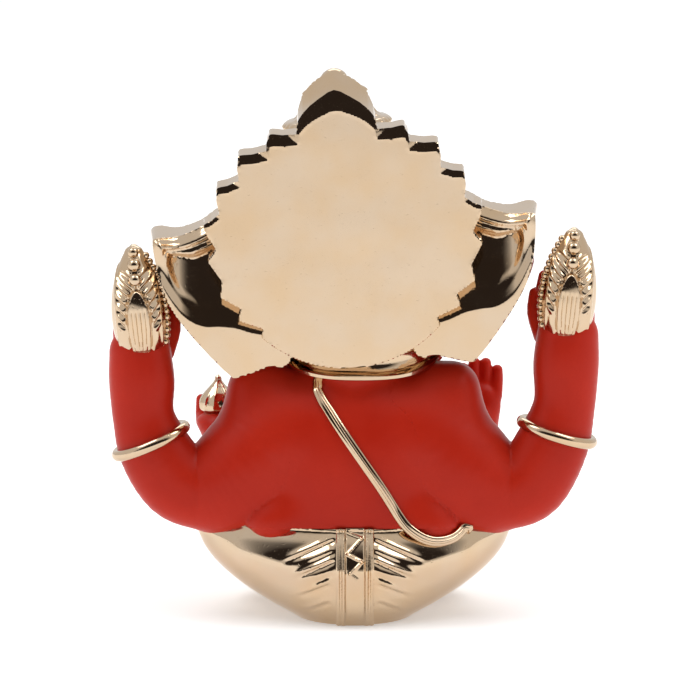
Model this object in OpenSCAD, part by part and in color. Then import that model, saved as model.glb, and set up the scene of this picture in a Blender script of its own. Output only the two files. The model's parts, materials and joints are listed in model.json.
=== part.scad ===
// Seated four-armed Ganesha idol for a shelf or dashboard shrine.
// Gold plated castings (dhoti, halo, ears, crown, jewellery) are pinned to red lacquered
// castings (torso, arms, head, feet). The figure faces -Y, its left hand side is +X, it
// rests on z = 0 and the origin is the centre of the filler plug's underside.

/* [Head and halo] */
// Sideways tilt of the head, halo, crown and ears towards the idol's left, in degrees
head_tilt = 4; // [0:0.5:6]
// Radius to the tips of the halo's teeth
halo_tip_r = 18.7; // [17.5:0.1:20]
// Radius to the notches between the halo's teeth
halo_notch_r = 16.4; // [15.5:0.1:17]
// Angle from one halo tooth to the next
halo_tooth_pitch = 16.6; // [16:0.1:17]
// Height of the halo's pointed top above the halo's centre
halo_peak = 22.8; // [21:0.1:24]
// Thickness of the halo casting
halo_t = 4.4; // [3:0.1:5]
// Half thickness of an ear
ear_r = 1.6; // [1:0.1:2]

/* [Arms and jewellery] */
// How much higher the idol's right rear hand is held than the left one
rear_hand_lift = 2.2; // [0:0.1:3]
// Thickness of a bangle's wire
bangle_wire = 1.1; // [0.8:0.1:1.6]
// Height of the gold lotus bud held in each rear hand
bud_h = 14; // [12:0.5:15]
// Width of the sacred thread
thread_w = 1.2; // [0.8:0.1:2]
// How far the sacred thread stands out from the body
thread_proud = 0.55; // [0.3:0.05:0.9]

/* [Seat] */
// Height of the dhoti's waist at the back
waist_z = 12.7; // [11.5:0.1:13.5]
// Width of the pleated strip down the back of the dhoti
pleat_w = 5; // [4:0.1:6]
// How far the pleated strip stands out from the dhoti
pleat_proud = 0.5; // [0.3:0.1:1]
// Radius of the filler plug in the underside
plug_r = 5.5; // [4:0.1:6]

/* [Joints] */
// Radius of the neck and waist dowels
big_dowel_r = 1.5; // [1:0.1:2]
// Radius of the dowels in the shoulders, the halo and the crown
small_dowel_r = 0.9; // [0.6:0.1:1.1]

/* [Hidden] */

GOLD = [0.86, 0.72, 0.45];
RED = [0.75, 0.16, 0.10];
IVORY = [0.95, 0.92, 0.84];
BLACK = [0.05, 0.05, 0.05];
STEEL = [0.6, 0.6, 0.62];
STONE = [0.10, 0.45, 0.30];

$fn = 14;
ROUND_FN = 36;        // for turned pieces, which stay true curves
BIG = 200;            // larger than the idol

neck_z = 33;          // the head group tilts about this height
halo_c = [0, 50];     // centre of the halo, as [x, z] before the tilt
halo_front_y = 2.4;   // front face of the halo
head_c = [0, -4, 46];
waist_slope = 9;      // the waist plane drops this much towards the belly, in degrees
hip_c = [0, 0.4, 9.4];
hip_size = [18, 9.6, 5];
elbow = [22.5, 3, 18.7];
wrist = [27.5, 2.2, 35.6];
bud_y = 3;
rear_bangle_at = [25.6, 3, 24.3];
palm_left = [18, -14.6, 23];
modak_at = [18, -15, 25.3];

// ---- shared shapes -------------------------------------------------------------------

module ball(p, r) {
    translate(p) sphere(r = r);
}

module egg(p, size, fn = 28) {
    translate(p) scale(size) sphere(r = 1, $fn = fn);
}

// Limb through a list of [x, y, z, radius] points
module limb(points, fn = $fn) {
    for (i = [0 : len(points) - 2])
        hull() {
            for (p = [points[i], points[i + 1]])
                translate([p.x, p.y, p.z]) sphere(r = p[3], $fn = fn);
        }
}

module on_side(side) {
    if (side > 0) children();
    else mirror([1, 0, 0]) children();
}

// Keeps only what is above the surface that the idol stands on
module above_floor() {
    intersection() {
        children();
        translate([-BIG / 2, -BIG / 2, 0]) cube(BIG);
    }
}

// Moves the head group to its tilted pose
module tilted() {
    translate([0, 0, neck_z]) rotate([0, head_tilt, 0]) translate([0, 0, -neck_z]) children();
}

module ring(at, tilt, r, wire) {
    translate(at) rotate(tilt)
        rotate_extrude($fn = ROUND_FN) translate([r, 0]) circle(r = wire / 2, $fn = 13);
}

module dowel(at, tilt, r, h) {
    translate(at) rotate(tilt) cylinder(r = r, h = h, center = true, $fn = 20);
}

// Everything above the sloping plane where the torso sits on the seat
module above_waist() {
    translate([0, 9, waist_z]) rotate([waist_slope, 0, 0])
        translate([-BIG / 2, -BIG / 2, 0]) cube(BIG);
}

// ---- dowels --------------------------------------------------------------------------

module waist_dowel_form() dowel([0, 0, 11.5], [0, 0, 0], big_dowel_r, 9);

module neck_dowel_form() dowel([0, -1, 34], [0, 0, 0], big_dowel_r, 8);

module shoulder_dowel_forms() {
    for (side = [-1, 1]) {
        dowel([side * 9.5, 3, 22], [0, 90, 0], small_dowel_r, 6);
        dowel([side * 9.2, -5.2, 25], [0, 90, 0], small_dowel_r, 4);
    }
}

module halo_dowel_forms() {
    for (side = [-1, 1])
        dowel([side * 5, halo_front_y, 48], [90, 0, 0], small_dowel_r, 4);
}

// ---- seat ----------------------------------------------------------------------------

module plug_form() {
    cylinder(r = plug_r, h = 2, $fn = ROUND_FN);
}

// Hips wrapped in cloth, narrowing to the foot of the idol
module hips(grow = 0) {
    above_floor() hull() {
        translate([0, -1, 0]) scale([7.2 + grow, 8.2 + grow, 1]) cylinder(r = 1, h = 0.5, $fn = 40);
        egg(hip_c, [hip_size.x + grow, hip_size.y + grow, hip_size.z], 40);
    }
}

// Fold in the cloth at the back, from beside the pleated strip outwards and down
module fold_groove(side, from, to) {
    steps = 3;
    for (i = [0 : steps - 1])
        hull()
            for (t = [i, i + 1] / steps) {
                at = from + (to - from) * t;
                skin = hip_c.y + hip_size.y * at.y / hip_c.z * sqrt(1 - pow(at.x / hip_size.x, 2));
                translate([side * at.x, max(skin, 7.4) + 0.2, at.y + 0.5 * sin(180 * t)])
                    sphere(r = 0.5, $fn = 8);
            }
}

module dhoti_seat() {
    color(GOLD) difference() {
        hips();
        above_waist();
        for (side = [-1, 1]) {
            fold_groove(side, [3.2, 10.8], [9.6, 8.2]);
            fold_groove(side, [3.2, 8.8], [8.6, 6.0]);
            fold_groove(side, [3.2, 5.8], [6.8, 3.8]);
            fold_groove(side, [3.2, 3.2], [5.6, 1.6]);
        }
        back_pleat_form();
        waist_dowel_form();
        plug_form();
    }
}

module back_pleat_form() {
    difference() {
        intersection() {
            hips(pleat_proud);
            translate([-pleat_w / 2, 4, 0]) cube([pleat_w, BIG, waist_z - 0.4]);
        }
        hips(-0.3);
    }
}

module back_pleat() {
    color(GOLD) back_pleat_form();
}

module leg_form() {
    above_floor() limb([[8.4, -1, 7.4, 6.2], [11.2, -5, 7.6, 5.8], [12.4, -9.6, 7.2, 5.0]], 14);
}

// Shin from the knee to the ankle; the left shin passes behind the right one
module shin_form(side) {
    reach = side > 0 ? [[8, -13, 4.4, 4.0], [0.5, -13.4, 3.4, 3.0]]
                     : [[8, -16.2, 4.4, 3.8], [0.5, -19.6, 3.2, 2.8]];
    above_floor() limb(concat([[12.4, -9.6, 7.2, 5.0]], reach), 12);
}

module whole_leg(side) {
    on_side(side) {
        leg_form();
        shin_form(side);
    }
}

module leg(side) {
    color(GOLD) difference() {
        whole_leg(side);
        hips();
        torso_form();
        if (side > 0) whole_leg(-1);
        foot_form(1);
        foot_form(-1);
        anklet_form(side);
    }
}

// Foot lying on its side with the sole turned to the front and a row of toes
module foot_form(side) {
    foot = side > 0 ? [-2.6, -14.2, 3.0] : [2.6, -20.2, 2.9];
    above_floor() {
        hull() {
            translate(foot) scale([1.4, 1, 1]) sphere(r = 2.2);
            translate(foot + [-side * 4.4, 0, 0.1]) scale([1, 0.9, 1.1]) sphere(r = 2.4);
        }
        for (i = [0 : 4])
            translate(foot + [-side * (6.9 - 0.18 * i * i), -0.3, 1.9 - i * 1.0])
                sphere(r = 0.95 - 0.09 * i, $fn = 14);
    }
}

module foot(side) {
    color(RED) difference() {
        foot_form(side);
        anklet_form(side);
        if (side > 0) {
            foot_form(-1);
            whole_leg(-1);
        }
    }
}

module anklet_form(side) {
    at = side > 0 ? [-0.9, -13.6, 3.2] : [0.9, -19.9, 3.1];
    above_floor() ring(at, [0, 90, side > 0 ? 4 : -22], 2.75, 1.2);
}

module anklet(side) {
    color(GOLD) difference() {
        anklet_form(side);
        if (side > 0) whole_leg(-1);
    }
}

// Gathered cloth end that hangs from the waist over the crossed shins
module front_apron() {
    color(GOLD) difference() {
        hull() {
            translate([0, -12.2, 9.6]) scale([5.2, 2.2, 2.2]) sphere(r = 1);
            translate([0, -17.6, 6.6]) scale([3.6, 2.4, 1.8]) sphere(r = 1);
        }
        torso_form();
        hips();
        for (side = [-1, 1]) {
            whole_leg(side);
            anklet_form(side);
            foot_form(side);
        }
    }
}

// ---- torso ---------------------------------------------------------------------------

// Belly, back, chest and neck before they are cut to length
module torso_bulk(grow = 0) {
    hull() {
        egg([0, -3.2, 17.6], [12.6 + grow, 11.6 + grow, 10.2 + grow], 20);
        egg([0, 1.4, 15.5], [12.4 + grow, 7.6 + grow, 8.5 + grow], 20);
    }
    hull() {
        egg([0, 1.4, 15.5], [12.4 + grow, 7.6 + grow, 8.5 + grow], 20);
        egg([0, 1.2, 25.5], [12.6 + grow, 7.4 + grow, 7 + grow], 20);
    }
    hull() {
        egg([0, -1, 26.5], [12 + grow, 7 + grow, 6 + grow], 20);
        translate([0, -1, 31]) cylinder(r = 6.4 + grow, h = 5, $fn = 32);
    }
}

module torso_form(grow = 0) {
    intersection() {
        torso_bulk(grow);
        above_waist();
    }
}

module torso() {
    color(RED) difference() {
        torso_form();
        translate([-BIG / 2, -BIG / 2, 33.6]) cube(BIG);
        ball([0, -16, 16.6], 1.5);
        waist_dowel_form();
        neck_dowel_form();
        shoulder_dowel_forms();
        sacred_thread_form();
        necklace_form();
    }
}

// Slab that runs from the left shoulder to the right hip, front and back
module thread_slab() {
    translate([-1.3, 0, 21]) rotate([0, 33, 0])
        translate([-thread_w / 2, -BIG / 2, -BIG / 2]) cube([thread_w, BIG, BIG]);
}

module sacred_thread_form() {
    intersection() {
        thread_slab();
        translate([0, 0, 0.3]) above_waist();
        difference() {
            torso_bulk(thread_proud);
            torso_bulk(-0.25);
            translate([-BIG / 2, -BIG / 2, 32.2]) cube(BIG);
        }
    }
}

module sacred_thread() {
    color(GOLD) difference() {
        sacred_thread_form();
        necklace_form();
        for (side = [-1, 1]) {
            rear_arm_form(side);
            front_arm_form(side);
        }
    }
}

module necklace_form() {
    translate([0, -1.2, 31.8]) rotate([8, 0, 0]) scale([1, 1, 1])
        rotate_extrude($fn = ROUND_FN) translate([6.6, 0]) square([1.6, 2.6], center = true);
}

module necklace() {
    color(GOLD) necklace_form();
}

module pendant_form() {
    translate([0, -10.4, 27.4]) rotate([62, 0, 0]) cylinder(r1 = 2.4, r2 = 1.6, h = 1.4, $fn = 32);
}

module pendant() {
    color(GOLD) difference() {
        pendant_form();
        torso_form();
    }
}

// ---- rear arms -----------------------------------------------------------------------

function hand_drop(side) = side > 0 ? -rear_hand_lift / 2 : rear_hand_lift / 2;

module rear_arm_form(side) {
    lift = hand_drop(side);
    on_side(side) {
        limb([
            [8.2, 1.6, 25.2, 7.4], [11.6, 2.6, 21.2, 8.3], [elbow.x, elbow.y, elbow.z, 5.6],
            [25.9, 2.9, 24 + lift / 2, 4.7], [27.4, 2.4, 30 + lift, 4.2],
            [wrist.x, wrist.y, wrist.z + lift, 4.0]
        ], 14);
        for (i = [0 : 3]) {
            x = wrist.x - 2.7 + i * 1.8;
            limb([
                [x, -1.1, wrist.z + lift + 1, 1.1],
                [x, -2.0, wrist.z + lift + 7.6 - 0.5 * abs(i - 1.3), 0.85]
            ], 8);
        }
        limb([
            [wrist.x - 3.4, -0.4, wrist.z + lift + 1, 1.2],
            [wrist.x - 4.3, -1.8, wrist.z + lift + 4.6, 1.0]
        ], 8);
    }
}

module rear_arm(side) {
    color(RED) difference() {
        rear_arm_form(side);
        torso_form();
        shoulder_dowel_forms();
        rear_bangle_form(side);
        lotus_bud_form(side);
        above_waist_cut();
    }
}

// Room for the hip under the arm
module above_waist_cut() {
    hips();
    for (side = [-1, 1]) whole_leg(side);
}

module rear_bangle_form(side) {
    on_side(side)
        ring(rear_bangle_at + [0, 0, hand_drop(side) / 2], [0, 24, 0], 4.75, bangle_wire);
}

module rear_bangle(side) {
    color(GOLD) rear_bangle_form(side);
}

// Closed lotus bud: cuff, swelling petals and a finial of two beads
module lotus_bud_form(side) {
    on_side(side)
        translate([wrist.x + 0.2, bud_y, wrist.z + hand_drop(side) + 0.8])
            rotate_extrude($fn = ROUND_FN) polygon([
                [0, 0], [3.3, 0], [3.5, 0.5], [3.2, 1.0],
                for (t = [0 : 0.125 : 1]) [3.2 + 0.5 * sin(180 * t) - 1.9 * t * t, 1.2 + (bud_h - 4) * t],
                [1.15, bud_h - 2.4], [1.3, bud_h - 1.9], [0.9, bud_h - 1.3],
                [0.95, bud_h - 0.7], [0.5, bud_h - 0.1], [0, bud_h]
            ]);
}

module lotus_bud(side) {
    color(GOLD) lotus_bud_form(side);
}

// ---- front arms ----------------------------------------------------------------------

module front_arm_form(side) {
    on_side(side) {
        if (side > 0) {
            limb([
                [9.6, -4.6, 25.4, 4.8], [14.6, -8.4, 17.6, 4.0], [17, -12.2, 20, 3.1],
                [palm_left.x, palm_left.y, palm_left.z - 1, 2.6]
            ], 12);
            for (i = [0 : 3])
                limb([
                    [palm_left.x - 2.1 + i * 1.4, palm_left.y - 2, palm_left.z - 1.2, 0.95],
                    [palm_left.x - 2.4 + i * 1.6, palm_left.y - 3.4, palm_left.z + 1.6, 0.8]
                ], 8);
            limb([
                [palm_left.x - 2.4, palm_left.y - 0.4, palm_left.z, 1.0],
                [palm_left.x - 3.2, palm_left.y - 0.8, palm_left.z + 2.6, 0.8]
            ], 8);
        } else {
            limb([
                [9.6, -4.6, 25.4, 4.8], [14.2, -8.4, 17.6, 4.0], [16.2, -12.4, 21, 3.0],
                [16.6, -13.6, 24.4, 2.7]
            ], 12);
            for (i = [0 : 3])
                limb([
                    [14.6 + i * 1.35, -14.6, 25.4, 0.95],
                    [14.4 + i * 1.5, -14.9, 30.4 - 0.5 * abs(i - 1.4), 0.78]
                ], 8);
            limb([[14.3, -14, 24.2, 1.1], [12.8, -14.8, 27, 0.85]], 8);
        }
    }
}

module front_arm(side) {
    color(RED) difference() {
        front_arm_form(side);
        torso_form();
        rear_arm_form(side);
        shoulder_dowel_forms();
        front_bangle_form(side);
        whole_leg(side);
        if (side > 0) modak_form();
    }
}

module front_bangle_form(side) {
    on_side(side) ring([16.6, -12.1, 20.6], side > 0 ? [40, 20, 0] : [16, 8, 0], 3.3, bangle_wire);
}

module front_bangle(side) {
    color(GOLD) difference() {
        front_bangle_form(side);
        whole_leg(side);
    }
}

module modak_form() {
    translate(modak_at - [0, 0, 1.4]) rotate_extrude($fn = ROUND_FN) polygon([
        [0, 0], [1.6, 0], [2.5, 0.9], [2.6, 1.8], [2.0, 3.0], [0.9, 4.0], [0.35, 4.9], [0, 5.1]
    ]);
}

module modak() {
    color(GOLD) modak_form();
}

// ---- head ----------------------------------------------------------------------------

module head_form() {
    egg(head_c, [10.6, 9.6, 11], 20);
    hull() {
        egg([0, -4, 41], [9.4, 8.6, 7.4], 14);
        egg([0, -8.6, 41], [7.6, 6, 5.6], 14);
    }
    hull() {
        egg([0, -9.8, 45], [6, 4.4, 4.6], 14);
        ball([0, -12, 40.6], 4.2);
    }
    for (side = [-1, 1])
        hull() {
            ball([side * 4.6, -10.4, 49], 3.0);
            ball([side * 3, -10.6, 46], 3.4);
        }
    limb([
        [0, -12, 41, 4.4], [0, -14.4, 36.6, 3.8], [0.8, -15.6, 32.4, 3.3], [2.8, -16.4, 28.6, 2.8],
        [5.8, -17.2, 26.2, 2.4], [9.2, -17.6, 25.8, 2.1], [11.8, -17.4, 27.4, 1.9],
        [12.4, -17.2, 29.6, 1.7]
    ], 12);
    hull() {
        ball([0, -10.4, 36.4], 2.4);
        ball([0, -12, 35.4], 1.5);
    }
}

module head_tilted_form() tilted() head_form();

module head() {
    color(RED) difference() {
        head_tilted_form();
        tilted() {
            translate([-BIG / 2, halo_front_y, 0]) cube(BIG);
            crown_form();
            for (side = [-1, 1]) tusk_form(side);
            eyes_form();
            forehead_mark_form();
            halo_dowel_forms();
        }
        torso_form(0.05);
        necklace_form();
        neck_dowel_form();
        pendant_form();
        front_arm_form(1);
        modak_form();
    }
}

// Fan shaped ear, as a hull of balls round its outline
module ear_form(side, inset = 0, r = ear_r) {
    on_side(side) hull() {
        for (p = [[9, 0, 53], [15, 0.2, 53.4], [23.6, -2.6, 51.4], [22.6, -2.8, 45],
                  [19.6, -2.2, 39.2], [15.6, -1.2, 35], [9.4, 0, 37]])
            let (c = [14, -1, 45.5])
                translate(p + (c - p) * inset) sphere(r = r, $fn = 12);
    }
}

module ear(side) {
    color(GOLD) tilted() difference() {
        ear_form(side);
        head_form();
        crown_form();
        ear_inner_form(side);
        translate([-BIG / 2, halo_front_y, 0]) cube(BIG);
    }
}

module ear_inner_form(side) {
    translate([0, -1.3, 0]) ear_form(side, 0.16, 0.9);
}

module ear_inner(side) {
    color(RED) tilted() difference() {
        ear_inner_form(side);
        head_form();
        crown_form();
    }
}

// Whole tusk on the idol's right, broken one on its left
module tusk_form(side) {
    on_side(side)
        if (side < 0) limb([[4.4, -11, 38.6, 1.15], [5.6, -14.2, 36.9, 0.95], [6.4, -16.8, 37.2, 0.5]], 16);
        else limb([[4.4, -11, 38.6, 1.15], [5.4, -13.8, 37.2, 1.0]], 16);
}

module tusk(side) {
    color(IVORY) tilted() tusk_form(side);
}

module eyes_form() {
    for (side = [-1, 1])
        translate([side * 4.5, -12.6, 44.6]) rotate([-6, side * 14, side * 18])
            scale([1.75, 0.9, 0.95]) sphere(r = 1, $fn = 24);
}

module pupils_form() {
    for (side = [-1, 1])
        translate([side * 4.5, -13.1, 44.6]) rotate([-6, side * 14, side * 18])
            scale([0.72, 0.5, 0.72]) sphere(r = 1, $fn = 20);
}

module eyes() {
    color(IVORY) tilted() difference() {
        eyes_form();
        pupils_form();
    }
}

module pupils() {
    color(BLACK) tilted() pupils_form();
}

// Three level strokes with a dot below them
module forehead_mark_form() {
    for (i = [0 : 2])
        translate([0, -13.2 + i * 0.28, 47.8 + i * 1.15])
            scale([2.3 - 0.2 * i, 0.6, 0.36]) sphere(r = 1, $fn = 20);
    translate([0, -13.6, 46.3]) scale([0.6, 0.5, 0.6]) sphere(r = 1, $fn = 20);
}

module forehead_mark() {
    color(GOLD) tilted() forehead_mark_form();
}

// ---- halo and crown ------------------------------------------------------------------

function on_halo(r, angle) = [halo_c.x + r * sin(angle), halo_c.y + r * cos(angle)];

// One side of the halo from the notch beside the peak to the lowest point: saw teeth above,
// blunter ones beside the neck, and a smooth arc below
function halo_side() = [
    for (i = [0 : 6])
        let (a = 20.5 + i * halo_tooth_pitch, fade = max(0, i - 4) * 0.35)
            each [on_halo(halo_notch_r - fade, a), on_halo(halo_tip_r - 2.2 * fade, a + 8.5)],
    for (a = [138 : 7 : 180]) on_halo(16.5, a)
];

function mirrored(points) = [for (i = [len(points) - 1 : -1 : 0]) [-points[i].x, points[i].y]];

// Ogee of the halo's pointed top
function halo_top() = [
    for (t = [-1 : 0.2 : 1])
        [halo_c.x + 5.2 * t, halo_c.y + halo_peak - 5 * pow(abs(t), 1.5)]
];

module halo_outline() {
    side = halo_side();
    polygon(concat(halo_top(), side, mirrored(side)));
}

module halo_form() {
    bevel = 1.7;
    translate([0, halo_front_y + halo_t - bevel, 0]) rotate([90, 0, 0])
        linear_extrude(halo_t - bevel) halo_outline();
    translate([0, halo_front_y + halo_t - bevel, halo_c.y]) rotate([90, 0, 0]) mirror([0, 0, 1])
        linear_extrude(bevel, scale = 0.925) translate([0, -halo_c.y]) halo_outline();
}

module halo_plate() {
    color(GOLD) difference() {
        tilted() {
            difference() {
                halo_form();
                halo_dowel_forms();
            }
        }
        torso_form();
        necklace_form();
        for (side = [-1, 1]) rear_arm_form(side);
    }
}

// Tiered crown, turned about the head's axis
module crown_form() {
    difference() {
        translate([head_c.x, head_c.y, 0]) rotate_extrude($fn = ROUND_FN) polygon([
            [0, 51.6], [9.3, 51.6], [9.8, 52.4], [9.8, 53.6], [9.2, 54.2], [9.0, 55.4],
            [8.2, 57.6], [7.4, 58.8], [7.7, 59.4], [7.1, 60.0], [6.6, 61.4], [5.5, 63.2],
            [5.0, 63.8], [5.3, 64.3], [4.6, 64.8], [4.0, 66.2], [2.9, 67.4], [2.2, 67.8],
            [2.3, 68.3], [1.3, 68.7], [1.5, 69.5], [1.1, 70.2], [0, 70.9]
        ]);
        translate([-BIG / 2, halo_front_y, 0]) cube(BIG);
    }
}

module crown_stone_forms() {
    translate([0, head_c.y - 8.6, 56.6]) rotate([72, 0, 0]) cylinder(r1 = 1.5, r2 = 1.0, h = 1.5, $fn = 32);
    for (side = [-1, 1])
        translate([side * 5.4, head_c.y - 7.4, 53]) rotate([90, 0, side * 36])
            cylinder(r1 = 1.0, r2 = 0.7, h = 1.5, $fn = 24);
}

module crown() {
    color(GOLD) tilted() difference() {
        crown_form();
        crown_stone_forms();
    }
}

module crown_stones() {
    color(STONE) tilted() crown_stone_forms();
}

// ---- small pieces --------------------------------------------------------------------

module filler_plug() {
    color(STEEL) plug_form();
}

module waist_dowel() {
    color(STEEL) waist_dowel_form();
}

module neck_dowel() {
    color(STEEL) neck_dowel_form();
}

module shoulder_dowels() {
    color(STEEL) shoulder_dowel_forms();
}

module halo_dowels() {
    color(STEEL) tilted() halo_dowel_forms();
}

// ---- the idol ------------------------------------------------------------------------

filler_plug();
dhoti_seat();
back_pleat();
leg(1);  // leg_left
leg(-1);  // leg_right
front_apron();
foot(1);  // foot_left
foot(-1);  // foot_right
anklet(1);  // anklet_left
anklet(-1);  // anklet_right
torso();
sacred_thread();
necklace();
pendant();
rear_arm(1);  // rear_arm_left
rear_arm(-1);  // rear_arm_right
rear_bangle(1);  // rear_bangle_left
rear_bangle(-1);  // rear_bangle_right
lotus_bud(1);  // lotus_bud_left
lotus_bud(-1);  // lotus_bud_right
front_arm(1);  // front_arm_left
front_arm(-1);  // front_arm_right
front_bangle(1);  // front_bangle_left
front_bangle(-1);  // front_bangle_right
modak();
head();
ear(1);  // ear_left
ear(-1);  // ear_right
ear_inner(1);  // ear_inner_left
ear_inner(-1);  // ear_inner_right
tusk(1);  // tusk_left
tusk(-1);  // tusk_right
eyes();
pupils();
forehead_mark();
halo_plate();
crown();
crown_stones();
waist_dowel();
neck_dowel();
shoulder_dowels();
halo_dowels();
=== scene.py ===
"""Looks of the seated Ganesha idol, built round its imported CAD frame.

Shapes are sculpted as signed distance fields in millimetres, in the CAD's own frame (the idol
faces -Y, its left is +X, +Z is up), turned into quad meshes and coloured with node materials.
"""

import json
import math
from concurrent.futures import ThreadPoolExecutor

import bmesh
import bpy
import numpy as np
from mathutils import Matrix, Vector


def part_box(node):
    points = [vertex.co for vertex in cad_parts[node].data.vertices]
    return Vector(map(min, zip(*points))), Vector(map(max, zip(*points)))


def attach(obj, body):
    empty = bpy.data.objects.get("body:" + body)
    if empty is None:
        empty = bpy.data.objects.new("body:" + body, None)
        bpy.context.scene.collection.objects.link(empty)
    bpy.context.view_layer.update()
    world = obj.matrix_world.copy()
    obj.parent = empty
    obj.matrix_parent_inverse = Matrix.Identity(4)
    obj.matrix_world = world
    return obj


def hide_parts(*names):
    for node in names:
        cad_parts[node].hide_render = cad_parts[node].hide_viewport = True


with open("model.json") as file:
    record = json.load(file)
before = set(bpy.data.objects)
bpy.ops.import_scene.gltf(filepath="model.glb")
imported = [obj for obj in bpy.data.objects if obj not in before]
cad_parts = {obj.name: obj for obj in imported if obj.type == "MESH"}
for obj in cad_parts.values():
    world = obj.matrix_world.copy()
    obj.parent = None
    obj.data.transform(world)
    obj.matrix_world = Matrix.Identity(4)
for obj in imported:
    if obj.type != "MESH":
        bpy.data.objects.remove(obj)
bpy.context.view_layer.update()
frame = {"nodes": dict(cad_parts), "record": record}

MM = 0.001


# ---- reading the frame ----

def box_mm(node):
    """Lowest and highest corner of a CAD node, in millimetres."""
    low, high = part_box(node)
    return np.array(low) / MM, np.array(high) / MM


def middle(node):
    low, high = box_mm(node)
    return (low + high) / 2


# ---- distance fields ----
# A field takes an (n, 3) array of points and gives n distances, negative inside the shape.

FAR = 4.5            # beyond this distance a small shape is as good as its box


def vec(*values):
    return np.array(values, dtype=float)


def norms(rows):
    return np.linalg.norm(rows, axis=1)


def unit(rows):
    return rows / norms(rows)[:, None]


def smooth_min(a, b, k):
    h = np.maximum(k - np.abs(a - b), 0) / k
    return np.minimum(a, b) - h * h * k * 0.25


def smooth_max(a, b, k):
    return -smooth_min(-a, -b, k)


def bump_curve(x, middle, width):
    """Bell that is 1 at the middle and about a third one width away."""
    return np.exp(-((x - middle) / width) ** 2)


def ramp(x, low, high):
    t = np.clip((x - low) / (high - low), 0, 1)
    return t * t * (3 - 2 * t)


def culled(shape, low, high):
    """The same shape, replaced by the distance to its box where it is far away."""
    low, high = vec(*low), vec(*high)
    centre, half = (low + high) / 2, (high - low) / 2

    def field(p):
        away = norms(np.maximum(np.abs(p - centre) - half, 0))
        near = away < FAR
        if near.all():
            return shape(p)
        d = away + 0
        if near.any():
            d[near] = shape(p[near])
        return d
    return field


def egg(centre, size, power=2):
    """Ellipsoid, or with a higher power a boxier one; close to a distance near its surface."""
    centre, size = vec(*centre), vec(*size)

    def field(p):
        q = np.abs(p - centre) / size
        if power == 2:
            r = norms(q)
            slope = norms(q / size)
            return r * (r - 1) / np.maximum(slope, 1e-6)
        r = (q ** power).sum(1) ** (1 / power)
        slope = norms(q ** (power - 1) / size)
        return (r - 1) * np.maximum(r, 1e-6) ** (power - 1) / np.maximum(slope, 1e-6)
    return culled(field, centre - size, centre + size)


def twin_eggs(k, centre, size):
    """An egg and its mirror image in x."""
    x, y, z = centre
    return join(k, egg((x, y, z), size), egg((-x, y, z), size))


def spline(points, steps, closed=False):
    """Catmull-Rom curve through rows of any width."""
    pts = np.array(points, dtype=float)
    if closed:
        ends = np.vstack([pts[-1], pts, pts[0], pts[1]])
    else:
        ends = np.vstack([2 * pts[0] - pts[1], pts, 2 * pts[-1] - pts[-2]])
    out = []
    for a, b, c, d in zip(ends, ends[1:], ends[2:], ends[3:]):
        for t in np.arange(steps) / steps:
            out.append(0.5 * (2 * b + (c - a) * t + (2 * a - 5 * b + 4 * c - d) * t ** 2
                              + (3 * b - a - 3 * c + d) * t ** 3))
    if not closed:
        out.append(pts[-1])
    return np.array(out)


def tube(points, steps=4, wrinkle=None):
    """Limb through (x, y, z, radius) points; wrinkle(along) may take a little off its radius."""
    path = spline(points, steps)
    lengths = np.concatenate([[0], np.cumsum(norms(np.diff(path[:, :3], axis=0)))])

    def field(p):
        best, along = np.full(len(p), 1e9), np.zeros(len(p))
        for i in range(len(path) - 1):
            a, b = path[i], path[i + 1]
            ab = b[:3] - a[:3]
            t = np.clip((p - a[:3]) @ (ab / max(ab @ ab, 1e-9)), 0, 1)
            q = p - a[:3] - t[:, None] * ab
            d = np.sqrt(np.einsum("ij,ij->i", q, q)) - (a[3] + t * (b[3] - a[3]))
            if wrinkle:
                along = np.where(d < best, lengths[i] + t * (lengths[i + 1] - lengths[i]), along)
            np.minimum(best, d, out=best)
        return best + wrinkle(along) if wrinkle else best
    reach = path[:, 3:4]
    return culled(field, (path[:, :3] - reach).min(0), (path[:, :3] + reach).max(0))


def join(k, *shapes):
    def field(p):
        d = shapes[0](p)
        for shape in shapes[1:]:
            d = smooth_min(d, shape(p), k)
        return d
    return field


def flatter(shape, share, y0):
    """The shape made thinner from front to back about the plane y = y0."""
    def field(p):
        q = p.copy()
        q[:, 1] = y0 + (p[:, 1] - y0) / share
        return shape(q)
    return field


def on_side(side, shape):
    return shape if side > 0 else lambda p: shape(p * vec(-1, 1, 1))


def half_space(point, normal):
    """Negative behind the plane through the point."""
    point, normal = vec(*point), vec(*normal)
    normal = normal / np.linalg.norm(normal)
    return lambda p: (p - point) @ normal


def rotation(degrees, axis):
    a = math.radians(degrees)
    u = vec(*axis) / np.linalg.norm(axis)
    cross = np.array([[0, -u[2], u[1]], [u[2], 0, -u[0]], [-u[1], u[0], 0]])
    return np.eye(3) + math.sin(a) * cross + (1 - math.cos(a)) * cross @ cross


def smooth_curve(knots):
    """Smooth function through (place, value) knots, flat beyond the ends."""
    xs, ys = np.array(knots, dtype=float).T
    slope = np.gradient(ys, xs)

    def value(x):
        x = np.clip(x, xs[0], xs[-1])
        i = np.clip(np.searchsorted(xs, x) - 1, 0, len(xs) - 2)
        w = xs[i + 1] - xs[i]
        t = (x - xs[i]) / w
        return ((2 * t ** 3 - 3 * t ** 2 + 1) * ys[i] + (t ** 3 - 2 * t ** 2 + t) * w * slope[i]
                + (3 * t ** 2 - 2 * t ** 3) * ys[i + 1] + (t ** 3 - t ** 2) * w * slope[i + 1])
    return value


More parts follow.
